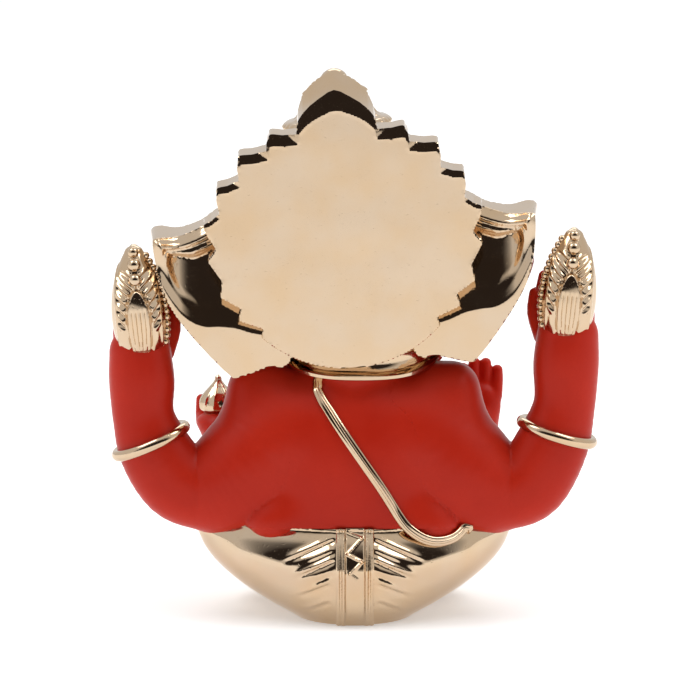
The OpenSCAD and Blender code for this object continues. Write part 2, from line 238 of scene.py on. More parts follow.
def polygon_distance(outline, q):
    """Signed distance of points to a closed polygon, both in a plane."""
    best, inside = np.full(len(q), 1e9), np.zeros(len(q), dtype=bool)
    for a, b in zip(outline, np.roll(outline, -1, axis=0)):
        ab = b - a
        t = np.clip((q - a) @ ab / max(ab @ ab, 1e-12), 0, 1)
        best = np.minimum(best, ((q - a - t[:, None] * ab) ** 2).sum(1))
        cross = (a[1] > q[:, 1]) != (b[1] > q[:, 1])
        if ab[1] != 0:
            inside ^= cross & (q[:, 0] < a[0] + (q[:, 1] - a[1]) * ab[0] / ab[1])
    return np.where(inside, -1, 1) * np.sqrt(best)


def outline_map(outline, step=0.1, margin=4):
    """Signed distance to a polygon in the XZ plane, looked up from a fine grid."""
    low, high = outline.min(0) - margin, outline.max(0) + margin
    count = np.ceil((high - low) / step).astype(int) + 1
    axes = [low[i] + np.arange(count[i]) * step for i in (0, 1)]
    grid = np.stack(np.meshgrid(*axes, indexing="ij"), -1).reshape(-1, 2)
    values = np.concatenate([polygon_distance(outline, part)
                             for part in np.array_split(grid, 24)]).reshape(count)

    def look_up(p):
        at = (p[:, [0, 2]] - low) / step
        at = np.clip(at, 0, count - 1.001)
        i = at.astype(int)
        f = at - i
        x, z = i.T
        a = values[x, z] * (1 - f[:, 1]) + values[x, z + 1] * f[:, 1]
        b = values[x + 1, z] * (1 - f[:, 1]) + values[x + 1, z + 1] * f[:, 1]
        return a * (1 - f[:, 0]) + b * f[:, 0]
    return look_up


# ---- from fields to a mesh ----

CHUNK = 12000        # points worked out together
BLOCK = 4            # fine cells along one side of a coarse block
PROBE = 0.008        # step for slopes
CORNERS = [(i, j, k) for i in (0, 1) for j in (0, 1) for k in (0, 1)]
PROBES = np.array([(1, -1, -1), (-1, -1, 1), (-1, 1, -1), (1, 1, 1)], dtype=float)


def evaluate(field, points):
    return np.concatenate([field(points[i:i + CHUNK]) for i in range(0, len(points), CHUNK)])


def value_and_slope(field, points):
    values = [evaluate(field, points + PROBE * e) for e in PROBES]
    slope = sum(v[:, None] * e for v, e in zip(values, PROBES)) / (4 * PROBE)
    return sum(values) / 4, slope


def sample(field, low, high, cell):
    """Field on a grid of nodes, worked out only in blocks that the surface may cross."""
    blocks = np.ceil((high - low) / (cell * BLOCK)).astype(int)
    index = np.stack(np.meshgrid(*[np.arange(n) for n in blocks], indexing="ij"), -1)
    coarse = evaluate(field, low + (index.reshape(-1, 3) + 0.5) * cell * BLOCK).reshape(blocks)
    near = np.abs(coarse) < cell * BLOCK * 1.5
    values = np.repeat(np.repeat(np.repeat(np.sign(coarse), BLOCK, 0), BLOCK, 1), BLOCK, 2)
    values = np.pad(values, ((0, 1),) * 3, mode="edge") * 1e3
    wanted = np.zeros(values.shape, dtype=bool)
    at = np.argwhere(near) * BLOCK
    for i in range(BLOCK + 1):
        for j in range(BLOCK + 1):
            for k in range(BLOCK + 1):
                wanted[at[:, 0] + i, at[:, 1] + j, at[:, 2] + k] = True
    nodes = np.argwhere(wanted)
    values[wanted] = evaluate(field, low + nodes * cell)
    for axis in range(3):            # nothing is left open at the sides of the grid
        for end in (0, -1):
            face = [slice(None)] * 3
            face[axis] = end
            values[tuple(face)] = np.maximum(values[tuple(face)], cell * 0.1)
    return values


def surface_net(values, low, cell):
    """Quads round the zero level of a grid of values, one point in each crossed cell."""
    inside = values < 0
    count = sum(inside[i:inside.shape[0] - 1 + i, j:inside.shape[1] - 1 + j,
                       k:inside.shape[2] - 1 + k].astype(np.int8) for i, j, k in CORNERS)
    mixed = (count > 0) & (count < 8)
    cells = np.argwhere(mixed)
    number = np.full(mixed.shape, -1)
    number[mixed] = np.arange(len(cells))
    place, hits = np.zeros((len(cells), 3)), np.zeros(len(cells))
    for a in CORNERS:
        for axis in range(3):
            if a[axis]:
                continue
            b = tuple(c + (n == axis) for n, c in enumerate(a))
            va, vb = values[tuple((cells + a).T)], values[tuple((cells + b).T)]
            cross = (va < 0) != (vb < 0)
            t = np.where(cross, va / np.where(cross, va - vb, 1), 0)
            place += (np.array(a, dtype=float) + t[:, None] * np.eye(3)[axis]) * cross[:, None]
            hits += cross
    points = low + (cells + place / hits[:, None]) * cell
    quads = []
    for axis in range(3):
        u, v = (axis + 1) % 3, (axis + 2) % 3
        start = [slice(1, -1)] * 3
        start[axis] = slice(0, -1)
        end = list(start)
        end[axis] = slice(1, None)
        offset = np.ones(3, dtype=int)
        offset[axis] = 0
        edges = np.argwhere(inside[tuple(start)] != inside[tuple(end)]) + offset
        ring = []
        for du, dv in ((-1, -1), (0, -1), (0, 0), (-1, 0)):
            at = edges.copy()
            at[:, u] += du
            at[:, v] += dv
            ring.append(number[tuple(at.T)])
        ring = np.stack(ring, 1)
        leaving = inside[tuple(edges.T)]
        ring[~leaving] = ring[~leaving][:, ::-1]
        quads.append(ring)
    return points, np.vstack(quads)


def relax(points, quads, amount=0.5):
    """Moves each point part of the way to the middle of its neighbours."""
    total, hits = np.zeros_like(points), np.zeros(len(points))
    for a, b in ((0, 1), (1, 2), (2, 3), (3, 0)):
        for i, j in ((a, b), (b, a)):
            for axis in range(3):
                total[:, axis] += np.bincount(quads[:, i], points[quads[:, j], axis], len(points))
            hits += np.bincount(quads[:, i], minlength=len(points))
    return points + amount * (total / hits[:, None] - points)


def settle(field, points, limit, rounds=1):
    """Newton steps onto the zero level."""
    for _ in range(rounds):
        d, slope = value_and_slope(field, points)
        step = d / np.maximum((slope * slope).sum(1), 0.05)
        points = points - np.clip(step, -limit, limit)[:, None] * slope
    return points


def sculpt(fields, box, cell):
    """Mesh of the space where every field is negative, with crisp edges between them."""
    low, high = vec(*box[0]), vec(*box[1])

    def whole(p):
        return np.max([f(p) for f in fields], axis=0) if len(fields) > 1 else fields[0](p)
    points, quads = surface_net(sample(whole, low, high, cell), low, cell)
    points = settle(whole, points, cell * 0.7, 2)
    for _ in range(2):
        points = settle(whole, relax(points, quads), cell * 0.7)
    if len(fields) > 1:
        worth = np.array([evaluate(f, points) for f in fields])
        close = np.abs(worth) < cell * 0.45
        edge = close.sum(0) > 1
        start = points[edge]
        spot = start.copy()
        for _ in range(5):
            for n, f in enumerate(fields):
                use = close[n, edge]
                if use.any():
                    spot[use] = settle(f, spot[use], cell * 0.3)
        moved = norms(spot - start) < cell
        points[edge] = np.where(moved[:, None], spot, start)
    return points, quads


# ---- swept and turned meshes ----

def grid_faces(rows, columns, wrap_rows):
    faces = []
    for i in range(rows if wrap_rows else rows - 1):
        for j in range(columns):
            a, b = i * columns + j, i * columns + (j + 1) % columns
            c, d = (i + 1) % rows * columns + (j + 1) % columns, (i + 1) % rows * columns + j
            faces.append((a, b, c, d))
    return faces


def oval(wide, high, sides=16, square=1):
    """Closed section as (out, across) points; a power under 1 makes it boxier."""
    turn = np.arange(sides) / sides * 2 * math.pi
    c, s = np.cos(turn), np.sin(turn)
    return np.stack([np.sign(s) * np.abs(s) ** square * high,
                     np.sign(c) * np.abs(c) ** square * wide], 1)


def sweep(path, normals, section):
    """Section carried round a closed path; its first number runs along the normals."""
    ahead = unit(np.roll(path, -1, 0) - np.roll(path, 1, 0))
    out = unit(normals - (normals * ahead).sum(1)[:, None] * ahead)
    across = np.cross(ahead, out)
    section = np.asarray(section)
    points = path[:, None] + out[:, None] * section[None, :, :1] + across[:, None] * section[None, :, 1:]
    return points.reshape(-1, 3), grid_faces(len(path), len(section), True)


def lathe(profile, count, relief=None):
    """Turned form from (radius, height) points, with relief(turn, share of height) added to it."""
    profile = np.asarray(profile, dtype=float)
    turn = np.arange(count) / count * 2 * math.pi
    share = (profile[:, 1] - profile[0, 1]) / (profile[-1, 1] - profile[0, 1])
    radius = np.repeat(profile[:, :1], count, 1)
    if relief:
        radius = radius + relief(turn[None, :], share[:, None], radius)
    points = np.stack([radius * np.sin(turn), radius * np.cos(turn),
                       np.repeat(profile[:, 1:], count, 1)], -1).reshape(-1, 3)
    rows = len(profile)
    faces = grid_faces(rows, count, False)
    faces += [tuple(range(count)), tuple((rows - 1) * count + i for i in range(count))]
    return points, faces


def ball_mesh(centre, radius, count=12):
    turn = np.linspace(0, math.pi, count // 2 + 1)
    profile = [(max(radius * math.sin(a), radius * 0.02), -radius * math.cos(a)) for a in turn]
    points, faces = lathe(profile, count)
    return points + vec(*centre), faces


def merge(parts):
    points, faces, start = [], [], 0
    for p, f in parts:
        points.append(p)
        faces += [tuple(i + start for i in face) for face in f]
        start += len(p)
    return np.vstack(points), faces


def hug(field, centre, u, v, count=96, reach=9, lift=0):
    """Ring of points where rays from a centre leave a shape, with the ways out along the rays."""
    u, v, centre = vec(*u), vec(*v), vec(*centre)
    u, v = u / np.linalg.norm(u), v / np.linalg.norm(v)
    turn = np.arange(count) / count * 2 * math.pi
    ways = np.cos(turn)[:, None] * u + np.sin(turn)[:, None] * v
    distances = np.arange(0.5, reach, 0.05)
    spots = centre + ways[:, None] * distances[:, None]
    inside = evaluate(field, spots.reshape(-1, 3)).reshape(count, -1) < 0
    leave = np.argmin(inside, axis=1)
    radius = distances[leave] + lift
    for _ in range(6):
        radius = (np.roll(radius, 1) + 2 * radius + np.roll(radius, -1)) / 4
    return centre + ways * radius[:, None], ways


# ---- pieces ----

SLOT_OF = {part["node"]: part["material_slot"] for part in frame["record"]["subparts"]}
CELL = {  # size of the grid cells that a piece is sculpted with, finer where its relief is fine
    "torso": 0.34, "rear_arm": 0.29, "front_arm": 0.29, "dhoti_seat": 0.19, "leg": 0.27, "back_pleat": 0.12,
    "front_apron": 0.2, "foot": 0.17, "head": 0.27, "tusk": 0.16, "eyes": 0.12, "pupils": 0.09,
    "forehead_mark": 0.14, "ear": 0.24, "ear_inner": 0.26, "halo_plate": 0.2}
SMOOTH_UNDER = 40    # degrees between faces that still shade as one surface
jobs = []


def plan(node, make, pose=None, sharp=SMOOTH_UNDER):
    """Puts a piece on the list; make() gives its points in millimetres and its faces."""
    jobs.append((node, make, pose, sharp))


def plan_sculpt(node, fields, box, pose=None, sharp=SMOOTH_UNDER):
    cell = CELL[node.removesuffix("_left").removesuffix("_right")]
    plan(node, lambda: sculpt(fields, box, cell), pose, sharp)


def face_outward(mesh):
    work = bmesh.new()
    work.from_mesh(mesh)
    bmesh.ops.recalc_face_normals(work, faces=work.faces)
    work.to_mesh(mesh)
    work.free()


def make_pieces():
    """Works out all planned pieces side by side, then adds them in order."""
    def work(job):
        _, make, pose, _ = job
        points, faces = make()
        return (pose(points) if pose else points), faces
    with ThreadPoolExecutor(4) as pool:
        results = list(pool.map(work, jobs))
    for (node, _, _, sharp), (points, faces) in zip(jobs, results):
        mesh = bpy.data.meshes.new(node + "_skin")
        faces = faces.tolist() if isinstance(faces, np.ndarray) else [list(f) for f in faces]
        mesh.from_pydata((points * MM).tolist(), [], faces)
        face_outward(mesh)
        mesh.shade_smooth()
        mesh.set_sharp_from_angle(angle=math.radians(sharp))
        mesh.materials.append(MATERIALS[SLOT_OF[node]])
        piece = bpy.data.objects.new(node + "_skin", mesh)
        bpy.context.scene.collection.objects.link(piece)
        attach(piece, "root")
        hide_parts(node)


def around(node, margin):
    low, high = box_mm(node)
    return low - margin, high + margin


# ---- materials ----

class Nodes:
    """Short spelling for a node tree."""

    def __init__(self, tree):
        self.tree = tree

    def new(self, kind, inputs=None, **settings):
        node = self.tree.nodes.new(kind)
        for key, value in settings.items():
            setattr(node, key, value)
        for key, value in (inputs or {}).items():
            if isinstance(value, bpy.types.NodeSocket):
                self.tree.links.new(value, node.inputs[key])
            else:
                node.inputs[key].default_value = value
        return node

    def noise(self, place, scale, detail=3.0, rough=0.5):
        return self.new("ShaderNodeTexNoise", {"Vector": place, "Scale": scale, "Detail": detail,
                                               "Roughness": rough}).outputs["Fac"]

    def span(self, value, low, high, out_low, out_high):
        return self.new("ShaderNodeMapRange", {"Value": value, "From Min": low, "From Max": high,
                                               "To Min": out_low, "To Max": out_high}).outputs[0]

    def maths(self, operation, a, b):
        return self.new("ShaderNodeMath", {0: a, 1: b}, operation=operation).outputs[0]

    def bump(self, shader, height, strength, depth_mm, over=None):
        """Puts a bump, over an earlier one if given, on the shader's normal."""
        node = self.new("ShaderNodeBump", {"Height": height, "Strength": strength,
                                           "Distance": depth_mm * MM})
        if over:
            self.tree.links.new(over, node.inputs["Normal"])
        self.tree.links.new(node.outputs[0], shader.inputs["Normal"])
        return node.outputs[0]

    def mix(self, share, a, b):
        node = self.new("ShaderNodeMix", {"Factor": share}, data_type="RGBA")
        for socket, colour in ((6, a), (7, b)):
            if isinstance(colour, bpy.types.NodeSocket):
                self.tree.links.new(colour, node.inputs[socket])
            else:
                node.inputs[socket].default_value = (*colour, 1.0)
        return node.outputs[2]


def new_material(name, slot, **principled):
    material = bpy.data.materials.new(name)
    material["slot"] = slot
    material.use_nodes = True
    shader = material.node_tree.nodes["Principled BSDF"]
    for key, value in principled.items():
        shader.inputs[key.replace("_", " ")].default_value = value
    return material, Nodes(material.node_tree), shader


GOLD_ROUGHNESS, LACQUER_ROUGHNESS = 0.07, 0.38


def gold(name, colour):
    """Bright pale gold plating: faint casting waves, polishing haze, hairlines and pits."""
    material, n, shader = new_material(name, "gold_plate", Metallic=1.0)
    place = n.new("ShaderNodeTexCoord").outputs["Object"]
    warm = tuple(c * f for c, f in zip(colour, (1.0, 0.94, 0.84)))
    blotch = n.span(n.noise(place, 160, 3), 0.35, 0.7, 0, 1)
    shade = n.mix(blotch, colour, warm)
    haze = n.span(n.noise(place, 420, 4), 0.45, 0.75, 0.0, 0.06)
    stretched = n.new("ShaderNodeMapping", {"Vector": place, "Scale": (1.0, 1.0, 14.0)}).outputs[0]
    hairline = n.span(n.noise(stretched, 900, 2), 0.62, 0.72, 0.0, 0.05)
    rough = n.maths("ADD", n.maths("ADD", haze, hairline), GOLD_ROUGHNESS)
    n.tree.links.new(shade, shader.inputs["Base Color"])
    n.tree.links.new(rough, shader.inputs["Roughness"])
    swell = n.noise(place, 110, 1)
    pits = n.span(n.noise(place, 2600, 2), 0.25, 0.36, -1.0, 0.0)
    n.bump(shader, pits, 0.25, 0.02, n.bump(shader, swell, 1.0, 0.1))
    return material


def lacquer(name, colour):
    """Soft matte lacquer: slight mottling, orange peel, fine dust and rubbed patches."""
    material, n, shader = new_material(name, "red_lacquer", Specular_IOR_Level=0.15, Sheen_Weight=0.03,
                                       Sheen_Roughness=0.35, Sheen_Tint=(1.0, 0.72, 0.78, 1.0))
    place = n.new("ShaderNodeTexCoord").outputs["Object"]
    deep = tuple(c * f for c, f in zip(colour, (0.86, 0.72, 0.70)))
    mottle = n.span(n.noise(place, 130, 4), 0.3, 0.75, 0, 1)
    grain = n.span(n.noise(place, 3200, 2), 0.3, 0.7, 0.0, 0.35)
    shade = n.mix(grain, n.mix(mottle, colour, deep), deep)
    rub = n.span(n.noise(place, 260, 3), 0.5, 0.8, 0.0, -0.10)
    n.tree.links.new(shade, shader.inputs["Base Color"])
    n.tree.links.new(n.maths("ADD", rub, LACQUER_ROUGHNESS), shader.inputs["Roughness"])
    n.bump(shader, n.noise(place, 1500, 2), 0.35, 0.03)
    return material


def enamel(slot, colour, other, scale, roughness=0.12, **principled):
    """Glossy enamel, stone or steel with a cloudy second shade."""
    material, n, shader = new_material(slot, slot, **principled)
    place = n.new("ShaderNodeTexCoord").outputs["Object"]
    cloud = n.span(n.noise(place, scale, 3), 0.35, 0.7, 0, 1)
    n.tree.links.new(n.mix(cloud, colour, other), shader.inputs["Base Color"])
    rough = n.span(n.noise(place, scale * 3, 3), 0.3, 0.7, roughness, roughness + 0.08)
    n.tree.links.new(rough, shader.inputs["Roughness"])
    n.bump(shader, n.noise(place, scale * 2, 2), 0.2, 0.02)
    return material


MATERIALS = {
    "gold_plate": gold("pale_gold_plating", (0.632, 0.49, 0.35)),
    "red_lacquer": lacquer("vermilion_lacquer", (0.52, 0.023, 0.008)),
    "ivory_enamel": enamel("ivory_enamel", (0.80, 0.72, 0.55), (0.66, 0.52, 0.34), 500),
    "black_enamel": enamel("black_enamel", (0.010, 0.009, 0.009), (0.030, 0.018, 0.012), 900, 0.06),
    "green_stone": enamel("green_stone", (0.01, 0.20, 0.10), (0.02, 0.34, 0.19), 700, 0.04,
                          Coat_Weight=1.0),
    "plug_resin": enamel("plug_resin", (0.36, 0.30, 0.24), (0.24, 0.20, 0.16), 800, 0.55),
    "dowel_steel": enamel("dowel_steel", (0.55, 0.55, 0.56), (0.42, 0.42, 0.44), 1500, 0.25,
                          Metallic=1.0),
}
MATERIALS["plug_resin"].name = "sanded_resin"


# ---- driving places, in millimetres ----

HEAD_TILT = 4
NECK = vec(0, 0, 33)
WAIST_Z, WAIST_SLOPE = 13.05, math.tan(math.radians(9))
BUD_BASE_Z = 36.4
LEFT, RIGHT = 1, -1
NAME = {LEFT: "left", RIGHT: "right"}
HAND_LIFT = {side: box_mm("lotus_bud_" + NAME[side])[0][2] - BUD_BASE_Z for side in (LEFT, RIGHT)}


def tilted(points):
    """Moves the head group from its upright pose to its tilted one."""
    return (points - NECK) @ rotation(HEAD_TILT, (0, 1, 0)).T + NECK


# ---- red body: torso and four arms as one skin, parted along its creases ----

TORSO = join(2.2,
             egg((0, -4, 17.8), (12.8, 11.6, 10.4), 2.2), egg((0, 0.9, 17.5), (13.6, 7.9, 12.6), 2.9),
             egg((0, -3.4, 26), (11, 6.4, 6.6)),
             egg((4.4, -7.8, 26.2), (4.6, 3.2, 3.6)), egg((-4.4, -7.8, 26.2), (4.6, 3.2, 3.6)),
             tube([(0, -0.6, 29, 6.4), (0, -0.6, 33, 6.3), (0, -0.6, 36, 6.3)], 2))
NAVEL = egg((0, -16.2, 16.6), (0.9, 1.7, 1.2))
SIDE_LOBES = join(0.5, egg((10.3, 5.7, 13.4), (3.4, 2.9, 2.5)), egg((-9.5, 5.8, 12.9), (3.8, 3, 2.9)))


def torso(p):
    return smooth_max(smooth_min(TORSO(p), SIDE_LOBES(p), 3), -NAVEL(p), 1)


def rear_arm(side):
    lift = HAND_LIFT[side]
    shoulder = egg((11.9, 0.2, 28), (4.7, 4.6, 5.4), 2.6)
    limb = flatter(tube([
        (5.4, 0.6, 25.6, 6.3), (9, 0.8, 25, 7), (12, 1.4, 20.6, 8),
        (15.8, 1.8, 17.8, 6.95), (19.4, 2.2, 16.9, 5.4), (22.9, 2.6, 18.1, 5.1),
        (25.8, 2.8, 22.6 + lift * 0.4, 4.7), (27.3, 2.8, 27.4 + lift * 0.7, 4),
        (27.5, 2.6, 32.4 + lift, 4.25), (27.7, 2.4, 36 + lift, 4)], 5), 0.88, 1.6)
    base = 36.4 + lift
    fingers = []
    for i in range(4):
        spread = i - 1.5
        x, tip = 27.4 + spread * 1.85, 7.6 - 0.35 * (i - 1.4) ** 2
        fingers.append(tube([(x, -0.4, base - 0.6, 1.1), (x + 0.1 * spread, -1.5, base + tip * 0.4, 1.02),
                             (x + 0.05 * spread, -1.9, base + tip * 0.72, 0.92),
                             (x - 0.1 * spread, -1.5, base + tip, 0.78)], 3))
    thumb = tube([(24.6, 0.2, base - 0.6, 1.3), (23.6, -0.6, base + 2.2, 1.1),
                  (23.6, -1.2, base + 4.6, 0.85)], 3)
    palm = egg((27.4, 0.4, base + 0.4), (3.7, 1.9, 3))
    return on_side(side, join(0.5, join(2, limb, shoulder), join(0.35, join(0.5, palm, thumb), *fingers)))


def front_arm(side):
    if side > 0:
        arm = tube([(8.6, -3.8, 26, 5.4), (12.6, -6.8, 20.8, 4.7), (14.8, -9, 17.6, 4.1),
                    (16.6, -11.6, 19.4, 3.2), (17.6, -13.6, 21.4, 2.5)], 5)
        palm = egg((18, -14.8, 22.6), (2.9, 2.7, 1.6))
        digits = [tube([(16 + 1.35 * i, -16.6, 22.3, 0.95), (15.6 + 1.55 * i, -18.3, 23.2, 0.85),
                        (15.5 + 1.6 * i, -18.3, 25, 0.72)], 3) for i in range(4)]
        digits.append(tube([(15.8, -14.6, 22.6, 1), (14.6, -15.2, 24.4, 0.85),
                            (15, -15.8, 26, 0.7)], 3))
        return join(0.4, join(1.2, arm, palm), *digits)
    arm = tube([(8.6, -3.8, 26, 5.4), (12.4, -6.8, 20.4, 4.7), (14.4, -9.2, 17.6, 4.1),
                (15.8, -11.8, 19.4, 3.2), (16.6, -13.4, 22.4, 2.5)], 5)
    palm = egg((16.7, -14, 25), (2.8, 1.5, 3))
    digits = []
    for i in range(4):
        x, spread = 14.75 + 1.32 * i, i - 1.5
        digits.append(tube([(x, -14.3, 26.2, 0.98), (x + 0.14 * spread, -14.7, 28.4, 0.9),
                            (x + 0.2 * spread, -14.6, 30.7 - 0.42 * (i - 1.4) ** 2, 0.74)], 3))
    digits.append(tube([(14.6, -14.2, 24, 1.1), (13.1, -14.8, 25.8, 0.95), (12.9, -15.2, 27.4, 0.75)], 3))
    return on_side(side, join(0.35, join(1.2, arm, palm), *digits))


REAR = {side: rear_arm(side) for side in (LEFT, RIGHT)}
FRONT = {side: front_arm(side) for side in (LEFT, RIGHT)}
BODY = {"torso": torso, "rear_arm_left": REAR[LEFT], "rear_arm_right": REAR[RIGHT],
        "front_arm_left": FRONT[LEFT], "front_arm_right": FRONT[RIGHT]}
BLEND_AT = smooth_curve([(13, 0.4), (17, 0.5), (20, 0.9), (23, 2.4), (26, 3), (34, 2.6)])


def body_skin(p):
    """Hard creases low on the back, soft ones at the shoulders."""
    k = BLEND_AT(p[:, 2])
    d = smooth_min(torso(p), REAR[LEFT](p), k)
    d = smooth_min(d, REAR[RIGHT](p), k)
    soft = np.minimum(k, 2.4)
    return smooth_min(smooth_min(d, FRONT[LEFT](p), soft), FRONT[RIGHT](p), soft)


SEAM_LAP = 0.12      # how far neighbours overlap past their seam
LOBE_HANG = 2.6      # how far the side lobes may hang below the waist


def own_share(group, name):
    """Negative where this part is nearer than any other part of the same skin."""
    def field(p):
        others = np.min([shape(p) for other, shape in group.items() if other != name], axis=0)
        return (group[name](p) - others) * 0.5 - SEAM_LAP
    return field


def below_waist(p):
    """Positive below the plane where the torso sits on the seat."""
    return WAIST_Z + (p[:, 1] - 9) * WAIST_SLOPE - p[:, 2]


def torso_floor(p):
    return np.minimum(below_waist(p), np.maximum(SIDE_LOBES(p), below_waist(p) - LOBE_HANG))


# ---- gold seat and legs: one draped cloth ----

HIP_WIDTH = smooth_curve([(-1, 6.4), (0, 7.8), (2, 11.3), (4, 14.4), (6, 16.9), (8, 18.8), (10, 20),
                          (12, 20.4), (13, 19.8), (14.6, 18)])
HIP_DEPTH = smooth_curve([(0, 8), (2, 9.4), (4, 10.4), (6, 11), (7.6, 11.2), (9.4, 10.8),
                          (11, 10), (12.7, 8.9), (14, 8.3)])
HIP_Y, HIP_TOP = -0.4, 14.4
FOLD_REACH = 2.5     # no fold is felt further than this from the hips' skin
FOLDS = [  # folds that fan out from the strip: start and end as (x, z), height
    ((2.6, 11.7), (9.4, 8.7), 0.28), ((2.6, 10.3), (6.4, 8.6), 0.16), ((2.6, 9.2), (9, 6.3), 0.26),
    ((2.8, 7.6), (6, 6.1), 0.14), ((3, 6.2), (7.8, 4), 0.22), ((3.2, 3.6), (7.2, 1.6), 0.15),
]
STRIP_X, STRIP_HALF, STRIP_PROUD = -0.15, 2.45, 0.45
ZIGZAG = np.array([(1, 12.6), (-0.9, 11.9), (1.05, 10), (-0.9, 9.1), (0.7, 7.5), (-0.3, 6.8)])


def hips_plain(p):
    x, y, z = p[:, 0], p[:, 1] - HIP_Y, p[:, 2]
    wide, deep = HIP_WIDTH(z), HIP_DEPTH(z)
    r = np.sqrt((x / wide) ** 2 + (y / deep) ** 2)
    slant = np.sqrt((x / wide ** 2) ** 2 + (y / deep ** 2) ** 2) / np.maximum(r, 1e-6)
    return (r - 1) / np.maximum(slant, 1e-3) * 0.88


def line_place(q, a, b):
    """Share of the way from a to b, and signed distance to the line's upper side."""
    a, b = np.array(a), np.array(b)
    ab = b - a
    t = np.clip((q - a) @ ab / (ab @ ab), -0.3, 1.3)
    side = (q[:, 1] - a[1]) * ab[0] - (q[:, 0] - a[0]) * ab[1]
    off = norms(q - a - np.clip(t, 0, 1)[:, None] * ab)
    return t, np.where(side > 0, 1, -1) * np.where(ab[0] > 0, 1, -1) * off


def fold_relief(p):
    """How far the cloth's folds stand out of the hips."""
    q = np.stack([np.abs(p[:, 0]), p[:, 2]], 1)
    height = np.zeros(len(p))
    for start, end, tall in FOLDS:
        t, off = line_place(q, start, end)
        taper = ramp(t, -0.05, 0.08) * (1 - ramp(t, 0.55, 1.02))
        height += taper * tall * (0.6 * bump_curve(off, 0.25, 0.32) - 0.8 * bump_curve(off, -0.25, 0.32))
    height += 0.2 * bump_curve(p[:, 2] - 0.03 * np.abs(p[:, 0]), WAIST_Z - 0.35, 0.25)
    return np.where(p[:, 1] > 1, height, 0)


def strip_relief(p):
    x, z = p[:, 0] - STRIP_X, p[:, 2]
    height = sum(0.28 * bump_curve(np.abs(x), at, 0.24) for at in (1.5, 2.2))
    height = height - 0.10 * (1 - ramp(np.abs(x), 1, 1.4))
    q = np.stack([x, z], 1)
    for a, b in zip(ZIGZAG, ZIGZAG[1:]):
        off = line_place(q, a, b)[1]
        height += 0.16 * bump_curve(off, 0, 0.14) * (1 - ramp(np.abs(x), 1.1, 1.4))
    height += 0.25 * bump_curve(z, WAIST_Z - 0.1, 0.25)
    return height


def hips(p):
    d = hips_plain(p)
    near = np.abs(d) < FOLD_REACH
    if near.any():
        d[near] -= fold_relief(p[near])
    return smooth_max(d, p[:, 2] - HIP_TOP, 1.4)


SHIN_POINTS = {  # the left shin lies behind the right one
    LEFT: [(8.4, -12.6, 4.9, 4.1), (4.2, -13.6, 3.8, 3.3), (0.6, -13.6, 3.3, 2.6)],
    RIGHT: [(9.2, -15.2, 4.8, 4), (4.6, -18.4, 3.7, 3.2), (0.6, -19.6, 3.2, 2.55)]}


def leg(side):
    thigh = tube([(6.5, -2, 7.2, 6.2), (11, -5.4, 7.8, 5.9), (12.6, -9.6, 7.5, 5.1)], 5)
    shin = tube([(12.6, -9.6, 7.3, 5)] + SHIN_POINTS[side], 5)

    def field(p):
        d = smooth_min(thigh(p), shin(p), 1.6)
        x, y, z = p.T
        wave = np.cos((0.62 * x + 0.30 * y - 0.95 * z + 0.5 * np.sin(0.5 * y)) * 1.75)
        fade = ramp(x, 1.5, 4.5) * (1 - ramp(x, 12, 17)) * (1 - ramp(y, -4, 2))
        return d - 0.16 * fade * (np.maximum(wave, 0) ** 2 - 0.3)
    return on_side(side, field)


CLOTH = {"dhoti_seat": hips, "leg_left": leg(LEFT), "leg_right": leg(RIGHT)}


def cloth_skin(p):
    d = smooth_min(CLOTH["dhoti_seat"](p), CLOTH["leg_left"](p), 2.4)
    return smooth_min(d, CLOTH["leg_right"](p), 2.4)


def outside(shape, gap=0):
    return lambda p: gap - shape(p)


FLOOR = half_space((0, 0, 0.02), (0, 0, -1))


def plan_body():
    ends = [torso_floor, half_space((0, 0, 34.6), (0, 0, 1))]
    for name in BODY:
        cuts, margin = (ends, 2.2) if name == "torso" else ([], 1.8)
        plan_sculpt(name, [body_skin, own_share(BODY, name)] + cuts, around(name, margin))


SEAT_TOP = smooth_curve([(0, 0.35), (9.5, 0.35), (11, 0.35), (13, 0.9), (16, 1.4)])


def seat_top(p):
    """The seat ends where the torso sits on it, and a little higher under the rear arms."""
    return -below_waist(p) - SEAT_TOP(np.abs(p[:, 0]))


def plan_cloth():
    for name in CLOTH:
        cuts = [FLOOR, seat_top] if name == "dhoti_seat" else [FLOOR]
        plan_sculpt(name, [cloth_skin, own_share(CLOTH, name)] + cuts, around(name, 2.8))
    strip = [lambda p: hips_plain(p) - STRIP_PROUD - strip_relief(p),
             lambda p: np.abs(p[:, 0] - STRIP_X) - STRIP_HALF,
             lambda p: -hips_plain(p) - 0.6, lambda p: p[:, 2] - WAIST_Z + 0.02,
             FLOOR, half_space((0, 3, 0), (0, -1, 0))]
    plan_sculpt("back_pleat", strip, ((-3, 2.4, -0.2), (3, 13, 13.8)))
    apron = join(1.5, egg((0, -12.6, 9.6), (5.4, 2.6, 2.5)), egg((0, -15.2, 8.2), (4.7, 2.8, 2.4)),
                 egg((0, -17.8, 6.7), (3.9, 2.4, 2)))

    def pleated(p):
        fan = np.arctan2(p[:, 0], -(p[:, 1] + 4)) * 26
        return apron(p) - 0.22 * (np.abs(np.sin(fan)) - 0.5)
    plan_sculpt("front_apron", [pleated, outside(torso)], around("front_apron", 1.2))


